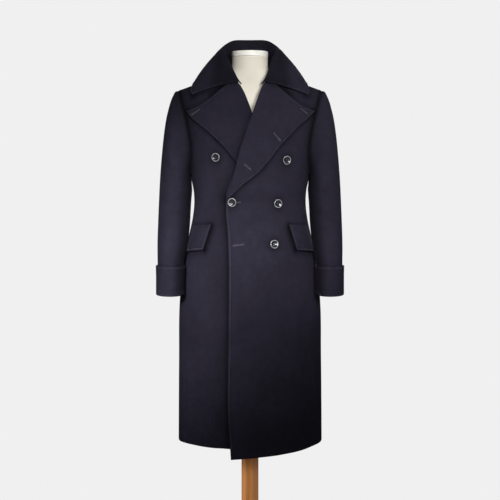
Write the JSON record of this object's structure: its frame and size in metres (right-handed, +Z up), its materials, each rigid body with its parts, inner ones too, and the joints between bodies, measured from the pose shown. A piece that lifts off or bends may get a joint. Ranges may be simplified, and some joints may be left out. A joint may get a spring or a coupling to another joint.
{
  "type": "wool overcoat on a dress form",
  "caption": "Long double-breasted wool overcoat with wide peaked lapels, high collar, flap pockets and turned-back cuffs, on a limbless dress form with a pole and round base.",
  "frame": {"origin": "centre of the base's underside, on the floor", "axes": "+Z up, -Y the coat's front, +X the wearer's left"},
  "size_m": [0.6002, 0.4, 1.637],
  "materials": {
    "navy_wool": "dense matt wool with a short nap",
    "dark_horn": "polished dark horn",
    "form_linen": "plain cream linen cover",
    "cap_cream": "cream satin lacquer",
    "pole_wood": "oiled tan wood",
    "base_wood": "oiled tan wood"
  },
  "bodies": {
    "root": {"front_left": "navy_wool", "front_right": "navy_wool", "back_left": "navy_wool", "back_right": "navy_wool", "top_sleeve_left": "navy_wool", "top_sleeve_right": "navy_wool", "under_sleeve_left": "navy_wool", "under_sleeve_right": "navy_wool", "cuff_left": "navy_wool", "cuff_right": "navy_wool", "pocket_flap_left": "navy_wool", "pocket_flap_right": "navy_wool", "lapel_left": "navy_wool", "lapel_right": "navy_wool", "collar": "navy_wool", "button_upper_right": "dark_horn", "button_upper_left": "dark_horn", "button_fastened": "dark_horn", "button_waist_left": "dark_horn", "button_lower_left": "dark_horn", "form_torso": "form_linen", "neck_cap": "cap_cream", "pole": "pole_wood", "base": "base_wood"}
  },
  "joints": []
}
